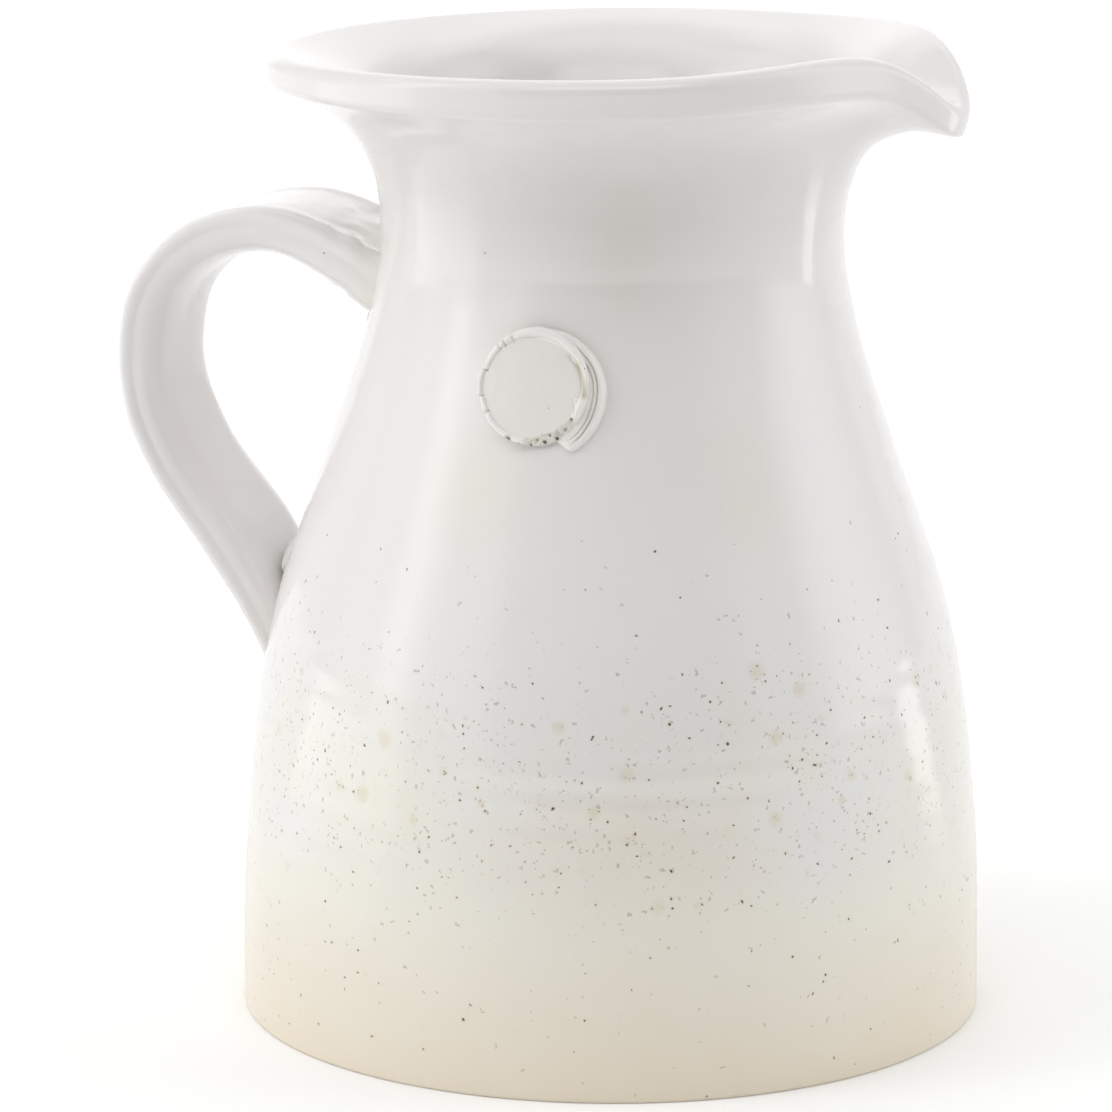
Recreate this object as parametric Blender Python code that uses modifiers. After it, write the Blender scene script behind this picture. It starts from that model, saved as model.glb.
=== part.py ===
"""Stoneware pitcher: a thrown body with a pulled spout, a strap handle and a stamped seal.

Metres, +Z up. The origin is on the vessel's axis, on the plane that it rests on.
+X points to the spout, -X to the handle, and the seal is on the -Y side.
"""

import math

import bmesh
import bpy
import numpy as np
from mathutils import Matrix, Vector
from mathutils.geometry import interpolate_bezier

# Driving dimensions of the thrown body.
HEIGHT = 0.254
FOOT_RADIUS = 0.0975
NECK_RADIUS = 0.0600
RIM_RADIUS = 0.0889
NECK_DROP = 0.0500  # from the rim down to the narrowest place
WALL = 0.0056
FLOOR = 0.0080
FOOT_ROUND = 0.0010
LIP_DEPTH = 0.0106
LIP_TOP_ROUND = 0.0036
LIP_UNDER_ROUND = 0.0029
LIP_LAND = 0.0110  # width of the shallow band inside the rim
LIP_LAND_FALL = 0.0050  # how far the band falls towards the throat
FLOOR_ROUND = 0.0140

# The pulled spout. Angles are in degrees.
SPOUT_DIP = 18.2
SPOUT_HALF_ANGLE = 14.1
SPOUT_POINT = 2.1  # 2 is a bell-shaped tip, and more is blunter
SPOUT_FULLNESS = 0.0013  # how far the throat is pressed out under the spout
SPOUT_FULLNESS_FADE = 0.4  # share of the flare's rise over which that sets in, and dies out
SPOUT_TUCK = 0.0009  # how much nearer the lip's edge comes at the tip
SPOUT_CURL = 0.0014  # and how much lower it hangs there
SHOULDER_ANGLE = 29.3
SHOULDER_SPREAD = 25.0
SHOULDER_LIFT = 3.9
SHOULDER_PINCH = 0.0023
RIM_FALL = 0.0019  # the lip is this much thinner at its lowest place
RIM_FALL_SIDE = -165.0  # which is at this angle from the spout
RIM_FALL_POWER = 2.5  # and the higher this is, the shorter that place
SPOUT_HINGE_INSET = 0.0100  # the hinge line is this far inside the neck
SPOUT_HINGE_RISE = 0.0196  # and this far above the narrowest place
SPOUT_BEND_START = -0.20  # the bend sets in here and is whole there,
SPOUT_BEND_END = 0.95  # as shares of the rise from the hinge to the rim

# The strap handle.
STRAP_WIDTH = 0.0435
STRAP_THICKNESS = 0.0112
STRAP_REACH = 0.0570  # from the wall to the strap's middle line
CROWN_DROP = 0.0509  # from the rim down to the highest place of the middle line
TAIL_HEIGHT = 0.0880

# The clay pressed into the two joints of the strap.
LUTING_INSET = 0.0048  # from the strap's edge
LUTING_HEIGHT = 0.0150
UPPER_LUTING_STAND = 0.0036
LOWER_LUTING_STAND = 0.0090

# The seal and the pad that it is pressed on.
SEAL_RADIUS = 0.0138
SEAL_THICKNESS = 0.0022
SEAL_RIM = 0.0022
SEAL_DISH = 0.0008  # how far the middle lies below the rim
SEAL_UNDERCUT = 0.0005
SEAL_DROP = 0.0296  # below the narrowest place of the neck
PAD_MARGIN = 0.0017  # how far the pad reaches beyond the seal
PAD_STAND = 0.0013  # the pad's face stands this far off the wall at its middle
PAD_DEPTH = 0.0050  # below that, at the pad's middle, where the wall cuts it
PAD_EDGE_ROUND = 0.0009
PAD_SHIFT = 0.0016

GAP = 0.0003  # between pieces that touch

# Fineness of the solids.
BODY_STEPS = 66
CUTTER_STEPS = 96
SPOUT_CROWDING = 0.35  # share by which the steps are closed up at the spout
OUTER_SPAN_STEPS = 3
INNER_SPAN_STEPS = 2
STRAP_SPAN_STEPS = 4
STRAP_SIDES = 20
LUTING_SIDES = 24
LUTING_RINGS = 14
SEAL_STEPS = 32
SHARP_ANGLE = math.radians(40)

# Form of the outline from the foot to the neck: share of the rise, then share of the way out
# from the neck's radius to the foot's.
BODY_FORM = [(0.0, 1.0), (0.343, 0.915), (0.525, 0.747), (0.735, 0.355), (0.922, 0.053), (1.0, 0.0)]
# Form of the flare from the neck to the lip's underside, in the same two shares.
FLARE_FORM = [(0.0, 0.0), (0.455, 0.093), (0.816, 0.456)]
# Form of the strap's middle line, from the neck to the belly: share of the rise from tail to
# crown, share of the reach, then the thickness and the width as shares of the strap's own.
STRAP_FORM = [
    (0.834, -0.175, 1.55, 1.03),
    (0.942, 0.156, 1.43, 1.01),
    (1.0, 0.584, 1.20, 1.0),
    (0.895, 0.980, 1.05, 1.0),
    (0.690, 1.0, 0.98, 1.0),
    (0.487, 0.754, 1.0, 1.0),
    (0.280, 0.300, 1.13, 1.01),
    (0.177, 0.100, 1.02, 1.03),
    (0.0, -0.172, 0.75, 1.03),
]
STRAP_SQUARENESS = 2.8  # 2 is an ellipse, and more is squarer

TAUTNESS = 0.36  # how far a line runs straight on from a point, as a share of the span

NECK_HEIGHT = HEIGHT - NECK_DROP
LIP_FLOOR = HEIGHT - LIP_DEPTH
UNDER_ANGLE = math.radians(-70)  # where the lip's under round starts
CREST_ANGLE = math.radians(112)  # where its top round ends, inside


def clear_scene():
    for obj in list(bpy.data.objects):
        bpy.data.objects.remove(obj)


def new_collection(name):
    collection = bpy.data.collections.new(name)
    bpy.context.scene.collection.children.link(collection)
    return collection


def glaze(name, color, roughness):
    """A glazed clay finish."""
    material = bpy.data.materials.new(name)
    material.use_nodes = True
    shader = material.node_tree.nodes["Principled BSDF"]
    shader.inputs["Base Color"].default_value = (*color, 1.0)
    shader.inputs["Roughness"].default_value = roughness
    shader.inputs["Metallic"].default_value = 0.0
    return material


def smooth_line(points, start, end, steps):
    """A smooth line through the points, with the directions at its two ends given."""
    points = [Vector(p) for p in points]
    spans = [b - a for a, b in zip(points, points[1:])]
    directions = [Vector(start).normalized()]
    for before, after in zip(spans, spans[1:]):
        directions.append((before.normalized() + after.normalized()).normalized())
    directions.append(Vector(end).normalized())
    line = [points[0]]
    for i, span in enumerate(spans):
        pull = TAUTNESS * span.length
        leave = points[i] + directions[i] * pull
        arrive = points[i + 1] - directions[i + 1] * pull
        line += interpolate_bezier(points[i], leave, arrive, points[i + 1], steps + 1)[1:]
    return line


def arc(center, radius, start, end, steps):
    angles = np.linspace(start, end, steps + 1)
    return [Vector((center[0] + radius * math.cos(a), center[1] + radius * math.sin(a))) for a in angles]


def lip_under_center():
    return RIM_RADIUS - LIP_UNDER_ROUND, LIP_FLOOR + LIP_UNDER_ROUND


def lip_top_center():
    return RIM_RADIUS - LIP_TOP_ROUND, HEIGHT - LIP_TOP_ROUND


def form_points(form, low, high):
    """Points of a form between two heights, where low and high are (radius, height)."""
    return [(low[0] + (high[0] - low[0]) * out, low[1] + (high[1] - low[1]) * up) for up, out in form]


def outer_line(steps):
    """The outside of the wall, from the foot up to the lip's underside."""
    low = (NECK_RADIUS, 0.0)
    high = (FOOT_RADIUS, NECK_HEIGHT)
    body = form_points(BODY_FORM, low, high)
    body[0] = (FOOT_RADIUS, FOOT_ROUND)
    under = arc(lip_under_center(), LIP_UNDER_ROUND, UNDER_ANGLE, 0.0, 3)
    flare = form_points(FLARE_FORM, (NECK_RADIUS, NECK_HEIGHT), tuple(under[0]))
    tangent = (-math.sin(UNDER_ANGLE), math.cos(UNDER_ANGLE))
    return smooth_line(body + flare[1:] + [under[0]], (0.0, 1.0), tangent, steps)


def wall_line(steps):
    """The inside of the wall, from the rim's crest down to the floor's middle."""
    crest = arc(lip_top_center(), LIP_TOP_ROUND, 0.0, CREST_ANGLE, 1)[-1]
    land = crest - Vector((LIP_LAND, LIP_LAND_FALL))
    low = (NECK_RADIUS - WALL, 0.0)
    high = (FOOT_RADIUS - WALL, NECK_HEIGHT)
    body = form_points(BODY_FORM, low, high)[1:]
    flare = form_points(FLARE_FORM, (NECK_RADIUS - WALL, NECK_HEIGHT), tuple(land))[1:]
    corner = (FOOT_RADIUS - WALL, FLOOR + FLOOR_ROUND)
    points = [crest, land] + flare[::-1] + body[::-1] + [corner]
    tangent = (-math.sin(CREST_ANGLE), math.cos(CREST_ANGLE))
    line = smooth_line(points, tangent, (0.0, -1.0), steps)
    center = (corner[0] - FLOOR_ROUND, corner[1])
    return line + arc(center, FLOOR_ROUND, 0.0, -math.pi / 2, 4)[1:]


def outer_radius(height):
    """Radius of the outside of the wall at a height below the lip."""
    line = outer_line(24)
    heights = [p[1] for p in line]
    return float(np.interp(height, heights, [p[0] for p in line]))


def profile_object(name, points, steps, collection, material=None):
    """A profile turned about +Z. The points run down the outer side, top to bottom."""
    mesh = bpy.data.meshes.new(name)
    mesh.from_pydata([(p[0], 0.0, p[1]) for p in points], [(i, i + 1) for i in range(len(points) - 1)], [])
    obj = bpy.data.objects.new(name, mesh)
    collection.objects.link(obj)
    screw = obj.modifiers.new("Turn", "SCREW")
    screw.axis = "Z"
    screw.steps = steps
    screw.render_steps = steps
    screw.use_merge_vertices = True
    screw.merge_threshold = 0.0001
    if material:
        mesh.materials.append(material)
    return obj


def apply_modifiers(obj):
    """Replaces the object's mesh by what its modifiers make of it."""
    bpy.context.view_layer.update()
    graph = bpy.context.evaluated_depsgraph_get()
    obj.data = bpy.data.meshes.new_from_object(obj.evaluated_get(graph))
    obj.modifiers.clear()


def ramp(x):
    """Smooth step from 0 to 1."""
    x = min(1.0, max(0.0, x))
    return x * x * (3.0 - 2.0 * x)


def pull_spout(co):
    """Where a point of the turned body lies once the spout is pulled from the rim."""
    radius = math.hypot(co.x, co.y)
    if radius < 1e-6:
        return co
    angle = math.atan2(co.y, co.x)
    angle -= SPOUT_CROWDING * math.sin(angle)
    off = abs(math.degrees(angle))
    tip = math.exp(-((off / SPOUT_HALF_ANGLE) ** SPOUT_POINT))
    shoulder = math.exp(-(((off - SHOULDER_ANGLE) / SHOULDER_SPREAD) ** 2))
    hinge_radius = NECK_RADIUS - SPOUT_HINGE_INSET
    hinge_height = NECK_HEIGHT + SPOUT_HINGE_RISE
    share = (co.z - hinge_height) / (HEIGHT - hinge_height)
    weight = ramp((share - SPOUT_BEND_START) / (SPOUT_BEND_END - SPOUT_BEND_START))
    bend = math.radians(SPOUT_DIP * tip - SHOULDER_LIFT * shoulder) * weight
    out = radius - hinge_radius
    up = co.z - hinge_height
    new_radius = hinge_radius + out * math.cos(bend) + up * math.sin(bend)
    new_height = hinge_height - out * math.sin(bend) + up * math.cos(bend)
    above_neck = (co.z - NECK_HEIGHT) / NECK_DROP
    pressed = ramp(above_neck / SPOUT_FULLNESS_FADE) * ramp((1.0 - above_neck) / SPOUT_FULLNESS_FADE)
    new_radius += SPOUT_FULLNESS * tip * pressed
    new_radius -= (SHOULDER_PINCH * shoulder + SPOUT_TUCK * tip) * weight
    middle = (NECK_RADIUS + RIM_RADIUS) / 2.0
    edge = ramp((radius - middle) / (RIM_RADIUS - middle))
    new_height -= SPOUT_CURL * tip * edge * edge * weight
    lowest = 0.5 + 0.5 * math.cos(angle - math.radians(RIM_FALL_SIDE))
    new_height -= RIM_FALL * lowest**RIM_FALL_POWER * ramp((co.z - LIP_FLOOR) / LIP_DEPTH)
    return Vector((new_radius * math.cos(angle), new_radius * math.sin(angle), new_height))


def make_body(collection, material):
    """The thrown vessel: floor, wall, flared rim and pulled spout, as one piece of clay."""
    under = arc(lip_under_center(), LIP_UNDER_ROUND, UNDER_ANGLE, 0.0, 3)
    top = arc(lip_top_center(), LIP_TOP_ROUND, 0.0, CREST_ANGLE, 6)
    inside = [Vector((0.0, FLOOR))] + wall_line(INNER_SPAN_STEPS)[::-1][:-1]
    foot = arc((FOOT_RADIUS - FOOT_ROUND, FOOT_ROUND), FOOT_ROUND, 0.0, -math.pi / 2, 2)[1:]
    outside = outer_line(OUTER_SPAN_STEPS)[:-1] + under
    points = inside + top[::-1] + outside[::-1] + foot + [Vector((0.0, 0.0))]
    body = profile_object("vessel_body", points, BODY_STEPS, collection, material)
    apply_modifiers(body)
    for vertex in body.data.vertices:
        vertex.co = pull_spout(vertex.co)
    shade(body)


def make_body_cutter(collection):
    """The body's outside as a plain solid, larger all round by the gap."""
    line = outer_line(3 * OUTER_SPAN_STEPS)
    points = [(p[0] + GAP, p[1]) for p in line[::-1]]
    points = [(0.0, points[0][1])] + points + [(points[-1][0], -GAP), (0.0, -GAP)]
    cutter = profile_object("body_cutter", points, CUTTER_STEPS, collection)
    hide(cutter)
    return cutter


def hide(obj):
    obj.hide_render = True
    obj.display_type = "WIRE"


def shade(obj):
    obj.data.shade_smooth()
    obj.data.set_sharp_from_angle(angle=SHARP_ANGLE)


def strap_stations():
    """The strap's middle line from neck to belly: (x, z, thickness, width) along it."""
    crown = HEIGHT - CROWN_DROP
    rows = []
    for up, out, thick, wide in STRAP_FORM:
        height = TAIL_HEIGHT + (crown - TAIL_HEIGHT) * up
        x = -outer_radius(height) - STRAP_REACH * out
        rows.append((x, height, STRAP_THICKNESS * thick, STRAP_WIDTH * wide))
    places = [Vector((row[0], row[1])) for row in rows]
    start = places[1] - places[0]
    end = places[-1] - places[-2]
    line = smooth_line(places, start, end, STRAP_SPAN_STEPS)
    at = np.linspace(0.0, len(rows) - 1.0, len(line))
    thickness = np.interp(at, range(len(rows)), [row[2] for row in rows])
    width = np.interp(at, range(len(rows)), [row[3] for row in rows])
    return [(p[0], p[1], float(t), float(w)) for p, t, w in zip(line, thickness, width)]


def strap_ring(mesh, before, station, after, grow):
    """One section of the strap, square to its middle line, larger all round by grow."""
    along = Vector((after[0] - before[0], 0.0, after[1] - before[1])).normalized()
    outward = Vector((0.0, 1.0, 0.0)).cross(along)
    center = Vector((station[0], 0.0, station[1]))
    ring = []
    for i in range(STRAP_SIDES):
        angle = 2.0 * math.pi * i / STRAP_SIDES
        across, up = math.cos(angle), math.sin(angle)
        power = 2.0 / STRAP_SQUARENESS
        across = math.copysign(abs(across) ** power, across) * (station[3] / 2.0 + grow)
        up = math.copysign(abs(up) ** power, up) * (station[2] / 2.0 + grow)
        ring.append(mesh.verts.new(center + Vector((0.0, across, 0.0)) + outward * up))
    return ring


def make_strap(name, collection, grow=0.0, material=None):
    """The strap as a loft of rounded sections, each as thick and wide as it is there."""
    stations = strap_stations()
    mesh = bmesh.new()
    rings = []
    for i, station in enumerate(stations):
        before = stations[max(i - 1, 0)]
        after = stations[min(i + 1, len(stations) - 1)]
        rings.append(strap_ring(mesh, before, station, after, grow))
    for ring, following in zip(rings, rings[1:]):
        for i in range(STRAP_SIDES):
            j = (i + 1) % STRAP_SIDES
            mesh.faces.new((ring[i], ring[j], following[j], following[i]))
    mesh.faces.new(rings[0][::-1])
    mesh.faces.new(rings[-1])
    bmesh.ops.recalc_face_normals(mesh, faces=mesh.faces)
    return finish_mesh(name, mesh, collection, material)


def finish_mesh(name, mesh, collection, material=None):
    data = bpy.data.meshes.new(name)
    mesh.to_mesh(data)
    mesh.free()
    if material:
        data.materials.append(material)
    obj = bpy.data.objects.new(name, data)
    collection.objects.link(obj)
    return obj


def subtract(obj, cutter):
    boolean = obj.modifiers.new(f"Cut by {cutter.name}", "BOOLEAN")
    boolean.operation = "DIFFERENCE"
    boolean.solver = "EXACT"
    boolean.object = cutter


def make_luting(name, place, stand, collection, material, cutters):
    """A roll of clay pressed into the corner between the strap's inner face and the wall."""
    mesh = bmesh.new()
    bmesh.ops.create_uvsphere(mesh, u_segments=LUTING_SIDES, v_segments=LUTING_RINGS, radius=1.0)
    size = Matrix.Diagonal((stand, STRAP_WIDTH / 2.0 - LUTING_INSET, LUTING_HEIGHT / 2.0, 1.0))
    bmesh.ops.transform(mesh, matrix=Matrix.Translation(place) @ size, verts=mesh.verts)
    luting = finish_mesh(name, mesh, collection, material)
    for cutter in cutters:
        subtract(luting, cutter)
    shade(luting)


def inner_corner(stations):
    """Where the strap's inner face meets the wall, along these stations of its middle line."""
    found = None
    for before, after in zip(stations, stations[1:]):
        along = Vector((after[0] - before[0], 0.0, after[1] - before[1])).normalized()
        inward = along.cross(Vector((0.0, 1.0, 0.0)))
        point = Vector((before[0], 0.0, before[1])) + inward * before[2] / 2.0
        depth = abs(abs(point.x) - outer_radius(point.z))
        if found is None or depth < found[0]:
            found = (depth, point)
    return found[1]


def wall_frame(height):
    """The matrix that takes +Z to the wall's outward normal on the -Y side, at a height."""
    step = 0.004
    radius = outer_radius(height)
    lean = math.atan2(outer_radius(height - step) - outer_radius(height + step), 2.0 * step)
    normal = Vector((0.0, -math.cos(lean), math.sin(lean)))
    upward = Vector((0.0, math.sin(lean), math.cos(lean)))
    side = upward.cross(normal)
    turn = Matrix((side, upward, normal)).transposed().to_4x4()
    return Matrix.Translation((0.0, -radius, height)) @ turn


def make_pad(collection, material, cutter):
    """The flattened pad of clay behind the seal, moulded to the wall."""
    radius = SEAL_RADIUS + PAD_MARGIN
    center = (radius - PAD_EDGE_ROUND, PAD_STAND - PAD_EDGE_ROUND)
    edge = arc(center, PAD_EDGE_ROUND, math.pi / 2, 0.0, 3)
    points = [(0.0, PAD_STAND)] + edge + [(radius, PAD_STAND - PAD_DEPTH), (0.0, PAD_STAND - PAD_DEPTH)]
    pad = profile_object("seal_pad", points, SEAL_STEPS, collection, material)
    pad.matrix_world = wall_frame(NECK_HEIGHT - SEAL_DROP) @ Matrix.Translation((PAD_SHIFT, 0.0, 0.0))
    subtract(pad, cutter)
    shade(pad)


def make_seal(collection, material):
    """The stamped disc: a shallow dish inside a raised rounded rim."""
    base = PAD_STAND + GAP
    top = base + SEAL_THICKNESS
    half = SEAL_RIM / 2.0
    rim = arc((SEAL_RADIUS - half, top - half), half, math.pi, 0.0, 8)
    dish = [(0.0, top - SEAL_DISH), (SEAL_RADIUS - 2.5 * SEAL_RIM, top - SEAL_DISH)]
    points = dish + rim + [(SEAL_RADIUS - SEAL_UNDERCUT, base), (0.0, base)]
    seal = profile_object("seal_disc", points, SEAL_STEPS, collection, material)
    seal.matrix_world = wall_frame(NECK_HEIGHT - SEAL_DROP)
    shade(seal)


def main():
    clear_scene()
    pitcher = new_collection("ceramic_pitcher")
    cutters = new_collection("cutters")
    cutters.hide_render = True
    body_glaze = glaze("body_glaze", (0.80, 0.78, 0.75), 0.16)
    handle_glaze = glaze("handle_glaze", (0.80, 0.79, 0.77), 0.14)
    seal_glaze = glaze("seal_glaze", (0.78, 0.76, 0.73), 0.22)

    make_body(pitcher, body_glaze)
    body_cutter = make_body_cutter(cutters)
    strap = make_strap("strap_handle", pitcher, material=handle_glaze)
    subtract(strap, body_cutter)
    shade(strap)
    strap_cutter = make_strap("strap_cutter", cutters, grow=GAP)
    hide(strap_cutter)
    both = (strap_cutter, body_cutter)
    stations = strap_stations()
    middle = len(stations) // 2
    root = inner_corner(stations[:middle])
    tail = inner_corner(stations[middle:])
    make_luting("upper_luting", root, UPPER_LUTING_STAND, pitcher, handle_glaze, both)
    make_luting("lower_luting", tail, LOWER_LUTING_STAND, pitcher, handle_glaze, both)
    make_pad(pitcher, seal_glaze, body_cutter)
    make_seal(pitcher, seal_glaze)


main()
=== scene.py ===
import math

import bmesh
import bpy
import numpy as np
from mathutils import Matrix, Vector, noise
from mathutils.geometry import interpolate_bezier


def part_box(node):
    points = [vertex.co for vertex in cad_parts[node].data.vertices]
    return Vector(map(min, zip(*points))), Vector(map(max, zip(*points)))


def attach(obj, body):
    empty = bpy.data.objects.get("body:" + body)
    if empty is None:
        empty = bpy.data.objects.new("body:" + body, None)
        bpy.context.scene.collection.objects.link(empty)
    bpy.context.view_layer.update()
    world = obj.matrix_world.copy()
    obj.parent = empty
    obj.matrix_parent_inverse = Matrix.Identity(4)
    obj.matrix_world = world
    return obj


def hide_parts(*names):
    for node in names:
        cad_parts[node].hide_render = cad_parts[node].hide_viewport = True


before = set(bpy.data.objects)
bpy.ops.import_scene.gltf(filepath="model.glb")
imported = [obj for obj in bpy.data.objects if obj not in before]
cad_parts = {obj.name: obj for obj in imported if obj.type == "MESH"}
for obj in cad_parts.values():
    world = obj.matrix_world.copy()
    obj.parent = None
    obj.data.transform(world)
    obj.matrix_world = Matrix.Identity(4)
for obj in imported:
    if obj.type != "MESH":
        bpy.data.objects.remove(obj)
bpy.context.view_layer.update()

# A thrown and glazed pitcher: the looks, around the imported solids. Metres, +Z up,
# the spout to +X, the handle to -X and the seal to -Y.

mergeDistance = 0.000002


# the camera: degrees from -Y towards +X, metres, degrees down and to the left, millimetres
view = {
    "azimuth": 17.0,
    "distance": 1.3056,
    "height": 0.3966,
    "pitch": 12.02,
    "yaw": -0.64,
    "lens": 164.7,
    "farthest": 50.0,
}


def makeCamera():
    side = math.radians(view["azimuth"])
    turn = side - math.radians(view["yaw"])
    down = math.radians(view["pitch"])
    camera = bpy.data.objects.new("camera", bpy.data.cameras.new("camera"))
    bpy.context.scene.collection.objects.link(camera)
    away = view["distance"]
    camera.location = (away * math.sin(side), -away * math.cos(side), view["height"])
    forward = Vector((-math.sin(turn) * math.cos(down), math.cos(turn) * math.cos(down), -math.sin(down)))
    camera.rotation_euler = forward.to_track_quat("-Z", "Y").to_euler()
    camera.data.lens = view["lens"]
    camera.data.clip_end = view["farthest"]
    bpy.context.scene.camera = camera


makeCamera()
print("camera is set")


# A number in a node tree, so that a rule in it reads as a formula.
class Term:
    def __init__(self, tree, socket):
        self.tree = tree
        self.socket = socket

    def do(self, operation, *others):
        node = self.tree.nodes.new("ShaderNodeMath")
        node.operation = operation
        for socket, value in zip(node.inputs, (self,) + others):
            feed(self.tree, socket, value)
        return Term(self.tree, node.outputs[0])

    def __add__(self, other):
        return self.do("ADD", other)

    def __sub__(self, other):
        return self.do("SUBTRACT", other)

    def __rsub__(self, other):
        return self.do("MULTIPLY", -1.0).do("ADD", other)

    def __mul__(self, other):
        return self.do("MULTIPLY", other)

    def __truediv__(self, other):
        return self.do("DIVIDE", other)

    def __pow__(self, other):
        return self.do("POWER", other)

    __radd__ = __add__
    __rmul__ = __mul__

    def sine(self):
        return self.do("SINE")

    def cosine(self):
        return self.do("COSINE")

    def size(self):
        return self.do("ABSOLUTE")

    # a soft step from 0 at low to 1 at high
    def step(self, low=0.0, high=1.0):
        node = self.tree.nodes.new("ShaderNodeMapRange")
        node.interpolation_type = "SMOOTHSTEP"
        feed(self.tree, node.inputs["Value"], self)
        feed(self.tree, node.inputs["From Min"], low)
        feed(self.tree, node.inputs["From Max"], high)
        return Term(self.tree, node.outputs["Result"])


def feed(tree, socket, value):
    if isinstance(value, Term):
        value = value.socket
    if isinstance(value, bpy.types.NodeSocket):
        tree.links.new(value, socket)
    else:
        socket.default_value = value


# Adds a node, sets what it is told to and feeds its sockets, by name or by place.
def addNode(tree, kind, settings=None, **inputs):
    node = tree.nodes.new(kind)
    for name, value in (settings or {}).items():
        setattr(node, name, value)
    for name, value in inputs.items():
        feed(tree, node.inputs[int(name[1:]) if name[1:].isdigit() else name.replace("_", " ")], value)
    return node


def takeInputs(tree, sizes):
    kinds = {int: "NodeSocketInt", float: "NodeSocketFloat"}
    for name, value in sizes.items():
        socket = tree.interface.new_socket(name=name, in_out="INPUT", socket_type=kinds[type(value)])
        socket.default_value = value


def setInputs(modifier, values):
    for item in modifier.node_group.interface.items_tree:
        if item.item_type == "SOCKET" and item.in_out == "INPUT" and item.name in values:
            modifier[item.identifier] = values[item.name]


# the outline of the thrown body, which the other pieces sit against
vessel = {
    "height": 0.254,
    "footRadius": 0.0975,
    "neckRadius": 0.0600,
    "rimRadius": 0.0889,
    "neckDrop": 0.0500,
    "wall": 0.0056,
    "floor": 0.0080,
    "footRound": 0.0013,
    "lipDepth": 0.0106,
    "lipTopRound": 0.0036,
    "lipUnderRound": 0.0029,
    "lipLand": 0.0110,
    "lipLandFall": 0.0050,
    "floorRound": 0.0140,
    "turnedForm": [(0.0, 1.0), (0.343, 0.915), (0.525, 0.747), (0.735, 0.355), (0.922, 0.053), (1.0, 0.0)],
    "flareForm": [(0.0, 0.0), (0.455, 0.093), (0.816, 0.456)],
    "underAngle": -70.0,
    "crestAngle": 112.0,
    "tautness": 0.36,
    # how closely the profile and the turn are divided
    "footStep": 0.0080,
    "wallStep": 0.0024,
    "insideStep": 0.0036,
    "columns": 288,
}
neckHeight = vessel["height"] - vessel["neckDrop"]
lipFloor = vessel["height"] - vessel["lipDepth"]


def smoothLine(points, start, end, steps):
    points = [Vector(point) for point in points]
    spans = [b - a for a, b in zip(points, points[1:])]
    directions = [Vector(start).normalized()]
    for before, after in zip(spans, spans[1:]):
        directions.append((before.normalized() + after.normalized()).normalized())
    directions.append(Vector(end).normalized())
    line = [points[0]]
    for i, span in enumerate(spans):
        pull = vessel["tautness"] * span.length
        leave = points[i] + directions[i] * pull
        arrive = points[i + 1] - directions[i + 1] * pull
        line += interpolate_bezier(points[i], leave, arrive, points[i + 1], steps + 1)[1:]
    return line


def arcLine(center, radius, start, end, steps):
    angles = np.linspace(math.radians(start), math.radians(end), steps + 1)
    return [Vector((center[0] + radius * math.cos(a), center[1] + radius * math.sin(a))) for a in angles]


def formLine(form, low, high):
    return [(low[0] + (high[0] - low[0]) * out, low[1] + (high[1] - low[1]) * up) for up, out in form]


def headingAt(angle):
    turned = math.radians(angle)
    return -math.sin(turned), math.cos(turned)


# The outside from the foot to the lip's underside.
def outerLine(steps):
    size = vessel
    under = arcLine(
        (size["rimRadius"] - size["lipUnderRound"], lipFloor + size["lipUnderRound"]),
        size["lipUnderRound"], size["underAngle"], 0.0, 10)
    body = formLine(size["turnedForm"], (size["neckRadius"], 0.0), (size["footRadius"], neckHeight))
    body[0] = (size["footRadius"], size["footRound"])
    flare = formLine(size["flareForm"], (size["neckRadius"], neckHeight), tuple(under[0]))
    line = smoothLine(body + flare[1:] + [under[0]], (0.0, 1.0), headingAt(size["underAngle"]), steps)
    return line, under


# The inside from the lip's crest down to the middle of the floor.
def innerLine(steps):
    size = vessel
    center = (size["rimRadius"] - size["lipTopRound"], size["height"] - size["lipTopRound"])
    top = arcLine(center, size["lipTopRound"], 0.0, size["crestAngle"], 14)
    crest = top[-1]
    land = crest - Vector((size["lipLand"], size["lipLandFall"]))
    neck = (size["neckRadius"] - size["wall"], neckHeight)
    body = formLine(size["turnedForm"], (neck[0], 0.0), (size["footRadius"] - size["wall"], neckHeight))[1:]
    flare = formLine(size["flareForm"], neck, tuple(land))[1:]
    corner = (size["footRadius"] - size["wall"], size["floor"] + size["floorRound"])
    points = [crest, land] + flare[::-1] + body[::-1] + [corner]
    line = smoothLine(points, headingAt(size["crestAngle"]), (0.0, -1.0), steps)
    bowl = arcLine((corner[0] - size["floorRound"], corner[1]), size["floorRound"], 0.0, -90.0, 8)
    return top, line + bowl[1:]


wallLine, _ = outerLine(40)
wallHeights = [point[1] for point in wallLine]
wallRadii = [point[0] for point in wallLine]


def outerRadius(height):
    return np.interp(height, wallHeights, wallRadii)


# Spaces the points of a line evenly, at most step apart.
def evenLine(line, step):
    points = np.array([tuple(point) for point in line])
    lengths = np.concatenate([[0.0], np.cumsum(np.linalg.norm(np.diff(points, axis=0), axis=1))])
    at = np.linspace(0.0, lengths[-1], max(2, int(math.ceil(lengths[-1] / step)) + 1))
    return [Vector(row) for row in np.column_stack([np.interp(at, lengths, column) for column in points.T])]


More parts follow.
